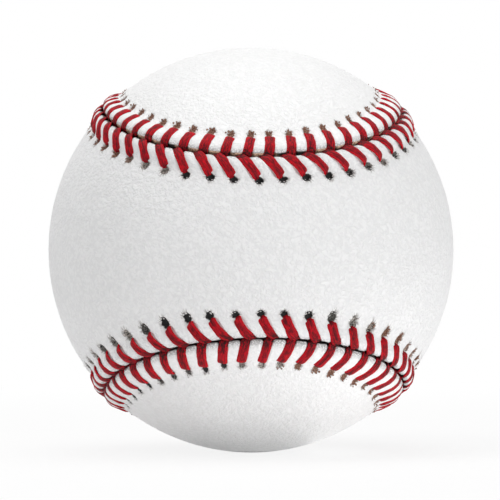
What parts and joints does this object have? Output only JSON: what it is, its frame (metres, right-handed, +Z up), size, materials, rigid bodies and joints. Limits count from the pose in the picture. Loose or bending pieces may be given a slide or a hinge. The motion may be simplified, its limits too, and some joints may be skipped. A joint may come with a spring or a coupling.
{
  "type": "baseball",
  "caption": "Baseball with a cushioned cork pill, wool windings, two white leather panels and raised red stitching.",
  "frame": {"origin": "centre of the ball", "axes": "+Z up through the lobe of the end panel, -Y out through the waist of the side panel, +X out through a lobe of the side panel"},
  "size_m": [0.0728, 0.0728, 0.0728],
  "materials": {
    "cork": "ground cork, matte",
    "black_rubber": "moulded, matte",
    "red_rubber": "moulded, matte",
    "grey_wool": "tightly wound wool yarn",
    "white_wool": "tightly wound wool yarn",
    "cotton": "fine wound cotton yarn",
    "leather": "alum-tanned cowhide, fine pebble grain, satin",
    "thread": "flat waxed cotton thread"
  },
  "bodies": {
    "root": {"cork_core": "cork", "inner_cushion_upper": "black_rubber", "inner_cushion_lower": "black_rubber", "cushion_washer": "red_rubber", "outer_cushion": "red_rubber", "first_winding": "grey_wool", "second_winding": "white_wool", "third_winding": "grey_wool", "finishing_winding": "cotton", "cover_side_panel": "leather", "cover_end_panel": "leather", "side_panel_stitches": "thread", "end_panel_stitches": "thread"}
  },
  "joints": []
}
